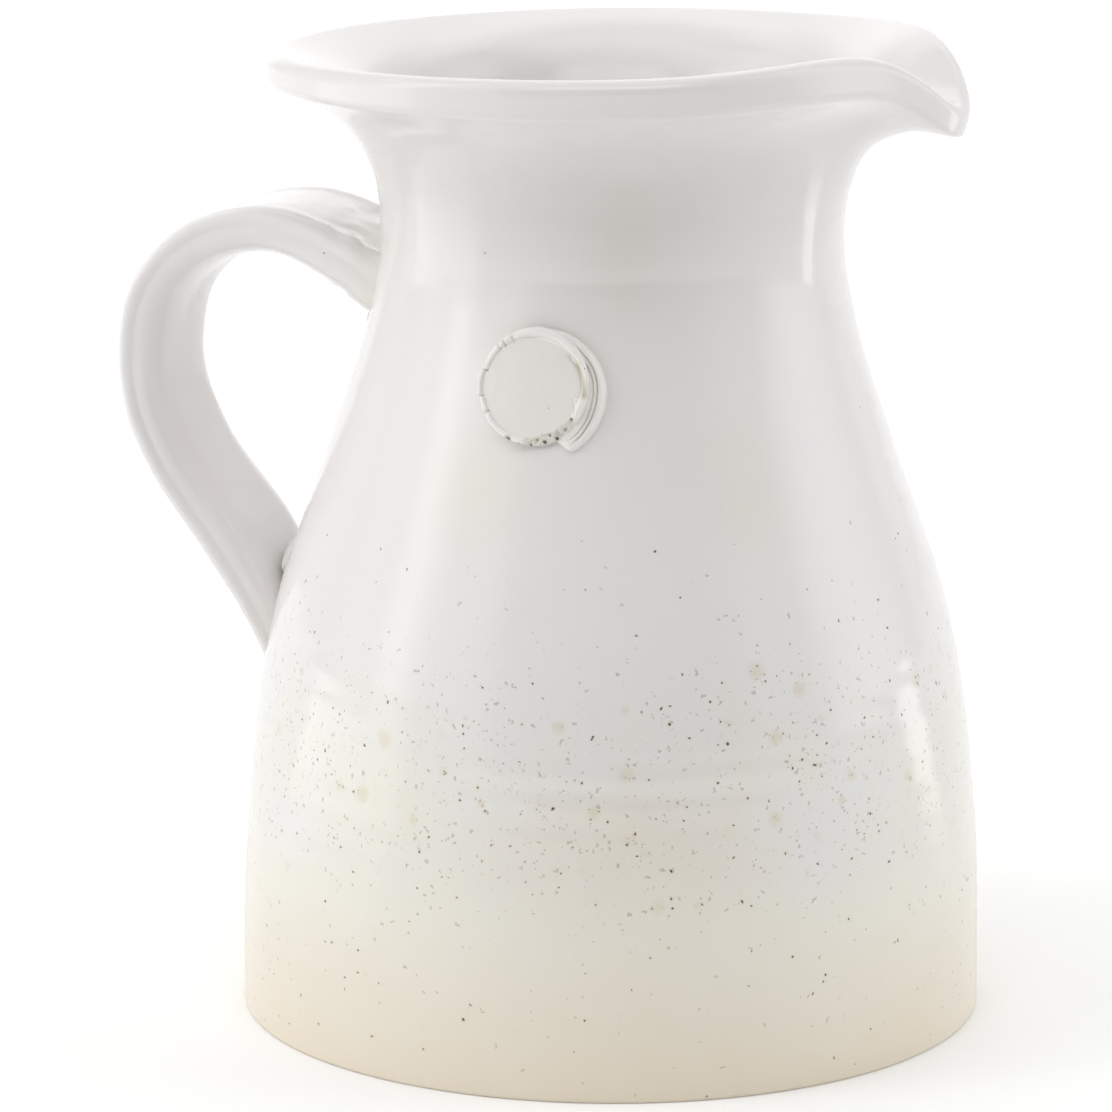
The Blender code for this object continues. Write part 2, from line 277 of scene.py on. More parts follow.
# the spout that is pulled from the rim, and how far the clay is from true; angles in degrees
spout = {
    "Spout Crowding": 0.35,
    "Spout Dip": 18.2,
    "Spout Half Angle": 14.1,
    "Spout Point": 2.1,
    "Spout Fullness": 0.0013,
    "Spout Tuck": 0.0009,
    "Spout Curl": 0.0014,
    "Shoulder Angle": 29.3,
    "Shoulder Spread": 25.0,
    "Shoulder Lift": 3.9,
    "Shoulder Pinch": 0.0023,
    "Rim Fall": 0.0019,
    "Hinge Inset": 0.0100,
    "Hinge Rise": 0.0196,
    "Unevenness": 0.00030,
    "Throwing Rings": 0.00007,
    "Seed": 4.0,
}
rimFallSide = -165.0
rimFallPower = 2.5
fullnessFade = 0.4
bendStart, bendEnd = -0.20, 0.95
# the finger rings: radians a metre, and how far the swellings push them
ringPitch, ringDrift = 760.0, 9.0
# a noise keeps to the middle of its range, so it is widened
noiseGain = 4.0


# The profile as one line of points, foot first.
def bodyProfile():
    size = vessel
    wallSide, under = outerLine(60)
    top, inside = innerLine(60)
    footCenter = (size["footRadius"] - size["footRound"], size["footRound"])
    footTurn = arcLine(footCenter, size["footRound"], -90.0, 0.0, 6)
    base = evenLine([(0.0, 0.0), footTurn[0]], size["footStep"])
    line = base[:-1] + footTurn[:-1] + evenLine(wallSide, size["wallStep"])[:-1] + under
    return line + top + evenLine(inside, size["insideStep"])[1:] + [Vector((0.0, size["floor"]))]


def lineMesh(name, points):
    mesh = bpy.data.meshes.new(name)
    mesh.from_pydata(points, [(i, i + 1) for i in range(len(points) - 1)], [])
    piece = bpy.data.objects.new(name, mesh)
    bpy.context.scene.collection.objects.link(piece)
    return piece


# Ends a tree: what falls together is merged, then it is smoothed, made real and glazed.
def endTree(tree, geometry, finish):
    merged = addNode(tree, "GeometryNodeMergeByDistance", Geometry=geometry, Distance=mergeDistance)
    smooth = addNode(tree, "GeometryNodeSetShadeSmooth", _0=merged.outputs[0])
    real = addNode(tree, "GeometryNodeRealizeInstances", _0=smooth.outputs[0])
    done = addNode(tree, "GeometryNodeSetMaterial", _0=real.outputs[0], Material=finish)
    addNode(tree, "NodeGroupOutput", _0=done.outputs[0])


# The rule of the body: its profile turned about the axis, then the spout pulled from the rim.
def turnedClayTree(finish):
    tree = bpy.data.node_groups.new("turned clay", "GeometryNodeTree")
    tree.interface.new_socket(name="Profile", in_out="INPUT", socket_type="NodeSocketGeometry")
    takeInputs(tree, {"Columns": vessel["columns"]} | spout)
    tree.interface.new_socket(name="Body", in_out="OUTPUT", socket_type="NodeSocketGeometry")
    source = addNode(tree, "NodeGroupInput")
    value = {item.name: Term(tree, item) for item in source.outputs}
    profile = source.outputs["Profile"]

    # a sheet of points, one column for each step round and one row for each point of the profile
    rows = Term(tree, addNode(tree, "GeometryNodeAttributeDomainSize", _0=profile).outputs["Point Count"])
    sheet = addNode(tree, "GeometryNodeMeshGrid", Vertices_X=value["Columns"] + 1.0, Vertices_Y=rows)
    place = addNode(tree, "ShaderNodeSeparateXYZ", _0=addNode(tree, "GeometryNodeInputPosition").outputs[0])
    around = Term(tree, place.outputs["X"])
    row = ((Term(tree, place.outputs["Y"]) + 0.5) * (rows - 1.0)).do("ROUND")
    sample = addNode(
        tree, "GeometryNodeSampleIndex", {"data_type": "FLOAT_VECTOR"},
        Geometry=profile, Value=addNode(tree, "GeometryNodeInputPosition").outputs[0], Index=row)
    turned = addNode(tree, "ShaderNodeSeparateXYZ", _0=sample.outputs[0])
    radius = Term(tree, turned.outputs["X"])
    height = Term(tree, turned.outputs["Z"])

    # the columns stand closer at the spout
    angle = around * (2.0 * math.pi)
    angle = angle - value["Spout Crowding"] * angle.sine()

    # the clay is never quite even: slow swellings and the faint rings that the fingers leave
    ring = addNode(
        tree, "ShaderNodeCombineXYZ", X=angle.cosine() * radius, Y=angle.sine() * radius, Z=height)
    swell = addNode(
        tree, "ShaderNodeTexNoise", {"noise_dimensions": "4D"},
        Vector=ring.outputs[0], W=value["Seed"], Scale=17.0, Detail=2.0, Roughness=0.45)
    rings = (height * ringPitch + angle + Term(tree, swell.outputs[0]) * ringDrift).sine()
    solid = height.step(0.0, 0.03)
    uneven = (Term(tree, swell.outputs[0]) - 0.5) * value["Unevenness"] * noiseGain
    outOfTrue = uneven + rings * value["Throwing Rings"]
    radius = radius + outOfTrue * solid * radius.step(0.01, 0.04)

    # the spout: the wall above a hinge line bends outwards and down
    off = (angle * (180.0 / math.pi)).size()
    tip = (0.0 - (off / value["Spout Half Angle"]) ** value["Spout Point"]).do("EXPONENT")
    shoulder = (0.0 - ((off - value["Shoulder Angle"]) / value["Shoulder Spread"]) ** 2.0).do("EXPONENT")
    hingeRadius = vessel["neckRadius"] - value["Hinge Inset"]
    hingeHeight = neckHeight + value["Hinge Rise"]
    weight = ((height - hingeHeight) / (vessel["height"] - hingeHeight)).step(bendStart, bendEnd)
    bend = (value["Spout Dip"] * tip - value["Shoulder Lift"] * shoulder) * weight * (math.pi / 180.0)
    out = radius - hingeRadius
    up = height - hingeHeight
    newRadius = hingeRadius + out * bend.cosine() + up * bend.sine()
    newHeight = hingeHeight - out * bend.sine() + up * bend.cosine()
    aboveNeck = (height - neckHeight) / vessel["neckDrop"]
    pressed = (aboveNeck / fullnessFade).step() * ((1.0 - aboveNeck) / fullnessFade).step()
    newRadius = newRadius + value["Spout Fullness"] * tip * pressed
    newRadius = newRadius - (value["Shoulder Pinch"] * shoulder + value["Spout Tuck"] * tip) * weight
    middle = (vessel["neckRadius"] + vessel["rimRadius"]) / 2.0
    edge = radius.step(middle, vessel["rimRadius"])
    newHeight = newHeight - value["Spout Curl"] * tip * edge * edge * weight
    lowest = ((angle - math.radians(rimFallSide)).cosine() * 0.5 + 0.5) ** rimFallPower
    newHeight = newHeight - value["Rim Fall"] * lowest * height.step(lipFloor, vessel["height"])

    spot = addNode(
        tree, "ShaderNodeCombineXYZ",
        X=newRadius * angle.cosine(), Y=newRadius * angle.sine(), Z=newHeight)
    shaped = addNode(
        tree, "GeometryNodeSetPosition", Geometry=sheet.outputs["Mesh"], Position=spot.outputs[0])
    endTree(tree, shaped.outputs[0], finish)
    return tree


# Turns what a node tree makes of a piece into its plain mesh.
def bakeTree(piece, tree, values):
    modifier = piece.modifiers.new(tree.name, "NODES")
    modifier.node_group = tree
    setInputs(modifier, values)
    graph = bpy.context.evaluated_depsgraph_get()
    mesh = bpy.data.meshes.new_from_object(piece.evaluated_get(graph))
    piece.modifiers.clear()
    piece.data = mesh
    pointOutwards(mesh)
    return piece


# A closed mesh whose faces point inwards has a negative volume, and is turned over.
def pointOutwards(mesh):
    mesh.calc_loop_triangles()
    corners = np.zeros(len(mesh.loop_triangles) * 3, np.int32)
    mesh.loop_triangles.foreach_get("vertices", corners)
    spots = vertexArray(mesh)[corners].reshape(-1, 3, 3)
    if np.einsum("ij,ij->i", spots[:, 0], np.cross(spots[:, 1], spots[:, 2])).sum() < 0.0:
        mesh.flip_normals()


def vertexArray(mesh):
    spots = np.zeros(len(mesh.vertices) * 3, np.float32)
    mesh.vertices.foreach_get("co", spots)
    return spots.reshape(-1, 3).astype(float)


# A piece that is done: it rides on the root and stands for a solid.
def handOver(piece, node):
    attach(piece, "root")
    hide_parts(node)
    print(f"{piece.name}: {len(piece.data.polygons)} faces")


def makeBody(finish):
    body = lineMesh("glazed_body", [(point[0], 0.0, point[1]) for point in bodyProfile()])
    bakeTree(body, turnedClayTree(finish), {"Columns": vessel["columns"]} | spout)
    handOver(body, "vessel_body")


# A group of shader nodes that reads a place and some sizes and gives plain numbers.
def newGroup(name, sizes, results):
    tree = bpy.data.node_groups.new(name, "ShaderNodeTree")
    tree.interface.new_socket(name="Vector", in_out="INPUT", socket_type="NodeSocketVector")
    takeInputs(tree, sizes)
    for result in results:
        tree.interface.new_socket(name=result, in_out="OUTPUT", socket_type="NodeSocketFloat")
    source = addNode(tree, "NodeGroupInput")
    value = {item.name: Term(tree, item) for item in source.outputs}
    return tree, source.outputs["Vector"], value


# Specks in the glaze: spots of a given size, thinned out by a chance and ragged at their edges.
def speckGroup():
    sizes = {"Spacing": 0.003, "Radius": 0.0004, "Chance": 1.0, "Raggedness": 0.0002, "Spread": 2.5}
    tree, place, value = newGroup("specks", sizes, ["Speck", "Halo"])
    ragged = addNode(tree, "ShaderNodeTexNoise", Vector=place, Scale=900.0, Detail=1.0)
    centered = addNode(tree, "ShaderNodeVectorMath", {"operation": "SUBTRACT"}, _0=ragged.outputs["Color"])
    centered.inputs[1].default_value = (0.5, 0.5, 0.5)
    shift = addNode(tree, "ShaderNodeVectorMath", {"operation": "SCALE"}, _0=centered.outputs[0])
    feed(tree, shift.inputs["Scale"], value["Raggedness"] * noiseGain)
    warped = addNode(tree, "ShaderNodeVectorMath", {"operation": "ADD"}, _0=place, _1=shift.outputs[0])
    cells = addNode(tree, "ShaderNodeTexVoronoi", Vector=warped.outputs[0], Scale=value["Spacing"] ** -1.0)
    distance = Term(tree, cells.outputs["Distance"]) * value["Spacing"]
    draw = addNode(tree, "ShaderNodeSeparateColor", _0=cells.outputs["Color"])
    kept = Term(tree, draw.outputs[0]).do("LESS_THAN", value["Chance"])
    radius = value["Radius"] * (Term(tree, draw.outputs[1]) * 0.7 + 0.5)
    speck = (1.0 - distance.step(radius * 0.55, radius)) * kept
    halo = (1.0 - distance.step(radius * 0.5, radius * value["Spread"])) * kept
    addNode(tree, "NodeGroupOutput", Speck=speck, Halo=halo)
    return tree


# Slow clouds in a glaze: a mask from 0 to 1.
def cloudGroup():
    tree, place, value = newGroup("clouds", {"Size": 0.03, "Softness": 0.5, "Seed": 0.0}, ["Mask"])
    clouds = addNode(
        tree, "ShaderNodeTexNoise", {"noise_dimensions": "4D"},
        Vector=place, W=value["Seed"], Scale=value["Size"] ** -1.0, Detail=3.0, Roughness=0.5)
    half = value["Softness"] * 0.3
    mask = Term(tree, clouds.outputs[0]).step(0.5 - half, 0.5 + half)
    addNode(tree, "NodeGroupOutput", Mask=mask)
    return tree


# The skin of a fired glaze as a height in metres: broad dimples and a fine orange peel.
def skinGroup():
    tree, place, value = newGroup("glaze skin", {"Dimples": 0.00003, "Peel": 0.000006}, ["Height"])
    broad = addNode(tree, "ShaderNodeTexNoise", Vector=place, Scale=170.0, Detail=2.0)
    fine = addNode(tree, "ShaderNodeTexNoise", Vector=place, Scale=1300.0, Detail=1.0)
    height = Term(tree, broad.outputs[0]) * value["Dimples"] + Term(tree, fine.outputs[0]) * value["Peel"]
    addNode(tree, "NodeGroupOutput", Height=height)
    return tree


groups = {"specks": speckGroup(), "clouds": cloudGroup(), "skin": skinGroup()}


def useGroup(tree, name, **inputs):
    return addNode(tree, "ShaderNodeGroup", {"node_tree": groups[name]}, **inputs)


def mixColor(tree, share, first, second):
    node = addNode(tree, "ShaderNodeMix", {"data_type": "RGBA"})
    feed(tree, node.inputs["Factor"], share)
    for socket, color in ((node.inputs[6], first), (node.inputs[7], second)):
        feed(tree, socket, (*color, 1.0) if isinstance(color, tuple) else color)
    return node.outputs[2]


def mark(tree, name):
    return Term(tree, addNode(tree, "ShaderNodeAttribute", {"attribute_name": name}).outputs["Fac"])


def newMaterial(name):
    material = bpy.data.materials.new(name)
    material.use_nodes = True
    tree = material.node_tree
    shader = tree.nodes["Principled BSDF"]
    spot = addNode(tree, "ShaderNodeTexCoord").outputs["Object"]
    return material, tree, shader, spot


def finishMaterial(tree, shader, color, roughness, height):
    feed(tree, shader.inputs["Base Color"], color)
    feed(tree, shader.inputs["Roughness"], roughness)
    bump = addNode(tree, "ShaderNodeBump", Height=height, Distance=1.0)
    feed(tree, shader.inputs["Normal"], bump.outputs[0])


bodyGlaze = {
    "white": (0.805, 0.780, 0.785),
    "pink": (0.795, 0.750, 0.765),
    "green": (0.785, 0.785, 0.725),
    "milk": (0.785, 0.788, 0.790),
    "butter": (0.800, 0.775, 0.675),
    "cream": (0.820, 0.795, 0.705),
    "peach": (0.815, 0.715, 0.565),
    "olive": (0.260, 0.245, 0.160),
    "iron": (0.045, 0.030, 0.018),
    "ochre": (0.600, 0.490, 0.230),
    "gloss": 0.10,
    "satin": 0.25,
    # how high the cream and the band reach, how they fade below and above, and how full they are
    "creamTop": 0.055,
    "creamFade": (-0.012, 0.006),
    "creamShare": 0.9,
    "bandTop": 0.115,
    "bandFade": (-0.045, 0.0),
    "bandShare": 0.8,
    "peachFade": (-0.012, 0.052),
    "drift": 0.034,
    # layers of clouds: size, softness, seed and weight
    "drifting": [(0.055, 1.6, 1.0, 0.55), (0.015, 1.4, 2.0, 0.30), (0.005, 1.4, 8.0, 0.15)],
    "pinkness": [(0.060, 1.2, 3.0, 0.9)],
    "greenness": [(0.042, 1.0, 4.0, 0.5)],
    "mottle": [(0.011, 1.0, 9.0, 0.22)],
    "butteriness": [(0.012, 0.8, 5.0, 0.45), (0.034, 0.7, 6.0, 0.55)],
    "patchiness": [(0.020, 0.7, 7.0, 0.7)],
    # where the glaze has run thin or pooled, and where shade is painted under the lip and on the side
    # facing the camera: angle round the axis, height, half the angle, half the height, tint
    "washesAndShade": [
        # painted shade under the lip's flare, across the side facing the camera
        (-73.0, 0.227, 75.0, 0.019, (0.690, 0.672, 0.668)),
        # partly painted shade below the lip, partly a brownish tint in the glaze
        (-70.0, 0.214, 13.0, 0.020, (0.715, 0.680, 0.640)),
        # partly painted shade low on the side facing the camera, partly a warmer tint in the glaze
        (-71.0, 0.064, 24.0, 0.019, (0.760, 0.710, 0.620)),
        (-112.0, 0.072, 16.0, 0.018, (0.800, 0.785, 0.690)),
        (-100.0, 0.150, 10.0, 0.014, (0.790, 0.770, 0.700)),
        (-46.0, 0.150, 7.0, 0.016, (0.770, 0.750, 0.680)),
        (110.0, 0.120, 30.0, 0.030, (0.770, 0.740, 0.670)),
    ],
    "washAndShadeCloud": (0.014, 1.5),
    # heights between which the specks come and go: where they crowd, and where there are a few
    "crowd": ((0.042, 0.070), (0.082, 0.122)),
    "few": ((-0.020, 0.030), (0.095, 0.150)),
    # the kinds of specks; a kind's chance is worked out where it isn't given
    "stains": {"Spacing": 0.0095, "Radius": 0.0013, "Spread": 2.2, "Raggedness": 0.0004},
    "gathered": {"Spacing": 0.0012, "Radius": 0.00038, "Chance": 0.6, "Raggedness": 0.0003},
    "mist": {"Spacing": 0.0018, "Radius": 0.00055, "Spread": 2.0, "Raggedness": 0.0006},
    "fine": {"Spacing": 0.0022, "Radius": 0.00038, "Spread": 2.2, "Raggedness": 0.00026},
    # their chances: in the crowd, where there are a few, and anywhere
    "stainChance": 0.85,
    "mistChance": (0.80, 0.10),
    "fineChance": (0.48, 0.11, 0.004),
    # how strongly each shows
    "stainShare": 0.30,
    "mistShare": 0.46,
    "haloShare": 0.26,
    "fineShare": 0.90,
    "gatheredShare": 0.9,
    "speckDepth": 0.00003,
    "skin": {"Dimples": 0.00005, "Peel": 0.000008},
}


def makeBodyGlaze():
    look = bodyGlaze
    material, tree, shader, spot = newMaterial("body_glaze")
    parts = addNode(tree, "ShaderNodeSeparateXYZ", _0=spot)
    x, y, height = [Term(tree, parts.outputs[axis]) for axis in "XYZ"]
    around = y.do("ARCTAN2", x) * (180.0 / math.pi)

    def cloud(size, softness, seed):
        made = useGroup(tree, "clouds", Vector=spot, Size=size, Softness=softness, Seed=seed)
        return Term(tree, made.outputs[0])

    def layers(name):
        made = [cloud(*settings) * weight for *settings, weight in look[name]]
        return sum(made[1:], made[0])

    def specks(name):
        return useGroup(tree, "specks", Vector=spot, **look[name])

    def tinted(color, share, tint):
        return mixColor(tree, share, color, tint)

    def zone(rise, fall):
        return height.step(*rise) * (1.0 - height.step(*fall))

    level = height + (layers("drifting") - 0.5) * look["drift"]
    upper = tinted(look["white"], layers("pinkness"), look["pink"])
    upper = tinted(upper, layers("greenness"), look["green"])
    upper = tinted(upper, layers("mottle"), look["green"])
    band = tinted(look["milk"], layers("butteriness"), look["butter"])
    lower = tinted(look["cream"], 1.0 - level.step(*look["peachFade"]), look["peach"])
    inBand = 1.0 - level.step(*[look["bandTop"] + fade for fade in look["bandFade"]])
    inCream = 1.0 - level.step(*[look["creamTop"] + fade for fade in look["creamFade"]])
    color = tinted(upper, inBand * look["bandShare"], band)
    color = tinted(color, inCream * look["creamShare"], lower)
    # some of these darken as painted shade, under the lip and on the side facing the camera
    for angle, middle, wide, tall, tint in look["washesAndShade"]:
        off = (around + (540.0 - angle)).do("FLOORED_MODULO", 360.0) - 180.0
        far = (off / wide) ** 2.0 + ((height - middle) / tall) ** 2.0
        washAndShade = (0.0 - far).do("EXPONENT") * (cloud(*look["washAndShadeCloud"], angle) * 0.5 + 0.5)
        color = tinted(color, washAndShade, tint)

    # specks are thickest just above the cream, and thin out both ways; some gather in stained spots
    crowd = zone(*look["crowd"])
    few = zone(*look["few"])
    patch = layers("patchiness") + 0.3
    stains = specks("stains")
    feed(tree, stains.inputs["Chance"], crowd * look["stainChance"])
    stain = Term(tree, stains.outputs["Halo"])
    gathered = specks("gathered")
    mist = specks("mist")
    inCrowd, inFew = look["mistChance"]
    feed(tree, mist.inputs["Chance"], (crowd * inCrowd + few * inFew) * patch)
    fine = specks("fine")
    inCrowd, inFew, anywhere = look["fineChance"]
    feed(tree, fine.inputs["Chance"], crowd * patch * inCrowd + few * inFew + anywhere)
    color = tinted(color, stain * look["stainShare"], look["ochre"])
    color = tinted(color, Term(tree, mist.outputs["Speck"]) * look["mistShare"], look["olive"])
    color = tinted(color, Term(tree, fine.outputs["Halo"]) * look["haloShare"], look["ochre"])
    clustered = Term(tree, gathered.outputs["Speck"]) * stain * look["gatheredShare"]
    dark = (Term(tree, fine.outputs["Speck"]) * look["fineShare"]).do("MAXIMUM", clustered)
    color = tinted(color, dark, look["iron"])
    roughness = look["gloss"] + inCream * (look["satin"] - look["gloss"])
    skin = Term(tree, useGroup(tree, "skin", Vector=spot, **look["skin"]).outputs[0])
    finishMaterial(tree, shader, color, roughness, skin - dark * look["speckDepth"])
    return material


handleGlaze = {
    "white": (0.805, 0.795, 0.785),
    "pink": (0.800, 0.765, 0.755),
    "pool": (0.750, 0.745, 0.620),
    "iron": (0.090, 0.060, 0.040),
    "gloss": 0.11,
}


def makeHandleGlaze(name, poolStrength):
    look = handleGlaze
    material, tree, shader, spot = newMaterial(name)
    blush = useGroup(tree, "clouds", Vector=spot, Size=0.028, Softness=1.2, Seed=11.0)
    color = mixColor(tree, Term(tree, blush.outputs[0]) * 0.8, look["white"], look["pink"])
    color = mixColor(tree, mark(tree, "pool") * poolStrength, color, look["pool"])
    rare = useGroup(tree, "specks", Vector=spot, Spacing=0.006, Radius=0.00035, Chance=0.10)
    color = mixColor(tree, Term(tree, rare.outputs["Speck"]) * 0.8, color, look["iron"])
    skin = Term(tree, useGroup(tree, "skin", Vector=spot, Dimples=0.00006, Peel=0.000010).outputs[0])
    finishMaterial(tree, shader, color, look["gloss"] + Term(tree, blush.outputs[0]) * 0.03, skin)
    return material


sealGlaze = {
    # the seal's warmer white, set lighter than the body's: partly a painted highlight for the light its
    # raised rims catch
    "white": (0.850, 0.825, 0.790),
    "lilac": (0.820, 0.790, 0.785),
    # pooled glaze; on the face it is also the colour of a painted shade
    "pool": (0.480, 0.455, 0.320),
    "iron": (0.120, 0.095, 0.070),
    "gloss": 0.20,
}


def makeSealGlaze():
    look = sealGlaze
    material, tree, shader, spot = newMaterial("seal_glaze")
    tone = useGroup(tree, "clouds", Vector=spot, Size=0.014, Softness=1.2, Seed=21.0)
    color = mixColor(tree, Term(tree, tone.outputs[0]) * 0.75, look["white"], look["lilac"])
    # the pool mark darkens where glaze pooled in the seal's hollows, and over the face as painted shade
    color = mixColor(tree, mark(tree, "pool") * 0.75, color, look["pool"])
    color = mixColor(tree, mark(tree, "pit"), color, look["iron"])
    dots = useGroup(tree, "specks", Vector=spot, Spacing=0.0040, Radius=0.00028, Chance=0.25)
    color = mixColor(tree, Term(tree, dots.outputs["Speck"]) * 0.6, color, look["iron"])
    skin = Term(tree, useGroup(tree, "skin", Vector=spot, Dimples=0.00005, Peel=0.000012).outputs[0])
    finishMaterial(tree, shader, color, look["gloss"] + mark(tree, "pool") * 0.06, skin)
    return material


finishes = {
    "body": makeBodyGlaze(),
    "handle": makeHandleGlaze("handle_glaze", 0.75),
    "luting": makeHandleGlaze("luting_glaze", 0.40),
    "seal": makeSealGlaze(),
}
print("glazes are made")


makeBody(finishes["body"])


# the strap: shares of its own thickness and width along a line from the neck to the belly
strap = {
    "width": 0.0435,
    "thickness": 0.0112,
    "reach": 0.0570,
    "crownDrop": 0.0509,
    "tailHeight": 0.0880,
    "form": [
        (0.834, -0.175, 1.55, 1.03),
        (0.942, 0.156, 1.43, 1.01),
        (1.0, 0.584, 1.20, 1.0),
        (0.895, 0.980, 1.05, 1.0),
        (0.690, 1.0, 0.98, 1.0),
        (0.487, 0.754, 1.0, 1.0),
        (0.280, 0.300, 1.13, 1.01),
        (0.177, 0.100, 1.02, 1.03),
        (0.0, -0.172, 0.75, 1.03),
    ],
    # half of its section, from the middle of the outer face round to the middle of the inner
    "section": [
        (0.0, 0.478), (0.45, 0.470), (0.76, 0.462), (0.88, 0.492), (0.965, 0.465), (1.0, 0.360),
        (0.990, 0.240), (0.958, 0.130), (0.945, 0.020), (0.915, -0.130), (0.845, -0.280), (0.71, -0.400),
        (0.48, -0.475), (0.0, -0.495),
    ],
    "step": 0.0011,
    # how wide the joints are rounded over, at the bottom and at the top, and between which heights
    "rounds": (0.0100, 0.0042),
    "roundHeights": (0.13, 0.17),
    "roundRaggedness": 0.25,
    "smearReach": 0.018,
    "smears": 0.0011,
    # where glaze pools: how near the wall, then height, fade and strength at each joint
    "poolReach": 0.010,
    "lowerPool": (0.128, 0.030, 0.45),
    "upperPool": (0.165, 0.020, 0.6),
    # the unevenness of the joints, in lumps a metre, and how flat the smears lie
    "lumpScale": 110.0,
    "smearScale": 150.0,
    "smearFlatness": 2.2,
}
strapWobble = {"Unevenness": 0.00045, "Seed": 9.0}


def strapPath():
    crown = vessel["height"] - strap["crownDrop"]
    rows = []
    for up, out, thick, wide in strap["form"]:
        height = strap["tailHeight"] + (crown - strap["tailHeight"]) * up
        x = -float(outerRadius(height)) - strap["reach"] * out
        rows.append((x, height, strap["thickness"] * thick, strap["width"] * wide))
    spots = [Vector(row[:2]) for row in rows]
    line = smoothLine(spots, spots[1] - spots[0], spots[-1] - spots[-2], 16)
    at = np.linspace(0.0, len(rows) - 1.0, len(line))
    sizes = [np.interp(at, range(len(rows)), [row[i] for row in rows]) for i in (2, 3)]
    return evenLine([(p[0], p[1], t, w) for p, t, w in zip(line, *sizes)], strap["step"])


def strapSection():
    half = smoothLine(strap["section"], (1.0, 0.0), (-1.0, 0.0), 4)
    return half + [Vector((-point[0], point[1])) for point in half[-2:0:-1]]


def addMarks(mesh, name, values):
    layer = mesh.attributes.get(name) or mesh.attributes.new(name, "FLOAT", "POINT")
    layer.data.foreach_set("value", np.asarray(values, np.float32))


def readMarks(mesh, name):
    values = np.zeros(len(mesh.vertices), np.float32)
    mesh.attributes[name].data.foreach_get("value", values)
    return values.astype(float)


# The rule of the strap: a section carried along a line, thicker and wider where the line says.
def strapTree(finish, section):
    tree = bpy.data.node_groups.new("pulled strap", "GeometryNodeTree")
    tree.interface.new_socket(name="Line", in_out="INPUT", socket_type="NodeSocketGeometry")
    takeInputs(tree, strapWobble)
    tree.interface.new_socket(name="Strap", in_out="OUTPUT", socket_type="NodeSocketGeometry")
    source = addNode(tree, "NodeGroupInput")
    value = {item.name: Term(tree, item) for item in source.outputs}
    line = source.outputs["Line"]
    outline = addNode(tree, "GeometryNodeObjectInfo", Object=section).outputs["Geometry"]
    rows = Term(tree, addNode(tree, "GeometryNodeAttributeDomainSize", _0=line).outputs["Point Count"])
    sides = Term(tree, addNode(tree, "GeometryNodeAttributeDomainSize", _0=outline).outputs["Point Count"])
    sheet = addNode(tree, "GeometryNodeMeshGrid", Vertices_X=sides + 1.0, Vertices_Y=rows)
    position = addNode(tree, "GeometryNodeInputPosition").outputs[0]
    place = addNode(tree, "ShaderNodeSeparateXYZ", _0=position)
    row = ((Term(tree, place.outputs["Y"]) + 0.5) * (rows - 1.0)).do("ROUND")
    side = ((Term(tree, place.outputs["X"]) + 0.5) * sides).do("ROUND").do("MODULO", sides)

    def sample(geometry, index, name=None):
        kind = "FLOAT" if name else "FLOAT_VECTOR"
        read = position
        if name:
            named = addNode(tree, "GeometryNodeInputNamedAttribute", {"data_type": "FLOAT"}, Name=name)
            read = named.outputs[0]
        settings = {"data_type": kind, "clamp": True}
        node = addNode(tree, "GeometryNodeSampleIndex", settings, Geometry=geometry)
        feed(tree, node.inputs["Value"], read)
        feed(tree, node.inputs["Index"], index)
        return node.outputs[0]

    def vector(operation, *inputs):
        node = addNode(tree, "ShaderNodeVectorMath", {"operation": operation})
        for socket, entry in zip(node.inputs, inputs):
            feed(tree, socket, entry)
        return node.outputs[0]

    def scaled(entry, size):
        node = addNode(tree, "ShaderNodeVectorMath", {"operation": "SCALE"}, _0=entry)
        feed(tree, node.inputs["Scale"], size)
        return node.outputs[0]

    center = sample(line, row)
    along = vector("NORMALIZE", vector("SUBTRACT", sample(line, row + 1.0), sample(line, row - 1.0)))
    outward = vector("CROSS_PRODUCT", (0.0, 1.0, 0.0), along)
    shape = addNode(tree, "ShaderNodeSeparateXYZ", _0=sample(outline, side))
    across = Term(tree, shape.outputs["X"]) * Term(tree, sample(line, row, "wide")) * 0.5
    up = Term(tree, shape.outputs["Z"]) * Term(tree, sample(line, row, "thick"))
    level = addNode(tree, "ShaderNodeCombineXYZ", Y=across).outputs[0]
    spot = vector("ADD", vector("ADD", center, level), scaled(outward, up))
    swell = addNode(
        tree, "ShaderNodeTexNoise", {"noise_dimensions": "4D"},
        Vector=spot, W=value["Seed"], Scale=38.0, Detail=2.0, Roughness=0.5)
    away = vector("NORMALIZE", vector("SUBTRACT", spot, center))
    uneven = (Term(tree, swell.outputs[0]) - 0.5) * value["Unevenness"] * noiseGain
    spot = vector("ADD", spot, scaled(away, uneven))
    shaped = addNode(tree, "GeometryNodeSetPosition", Geometry=sheet.outputs["Mesh"], Position=spot)
    marked = addNode(tree, "GeometryNodeStoreNamedAttribute", {"data_type": "FLOAT"}, Name="row")
    feed(tree, marked.inputs["Geometry"], shaped.outputs[0])
    feed(tree, marked.inputs["Value"], row)
    endTree(tree, marked.outputs[0], finish)
    return tree


# How far points lie outside the wall, along a level line to the axis.
def offWall(spots):
    return np.hypot(spots[:, 0], spots[:, 1]) - outerRadius(spots[:, 2])


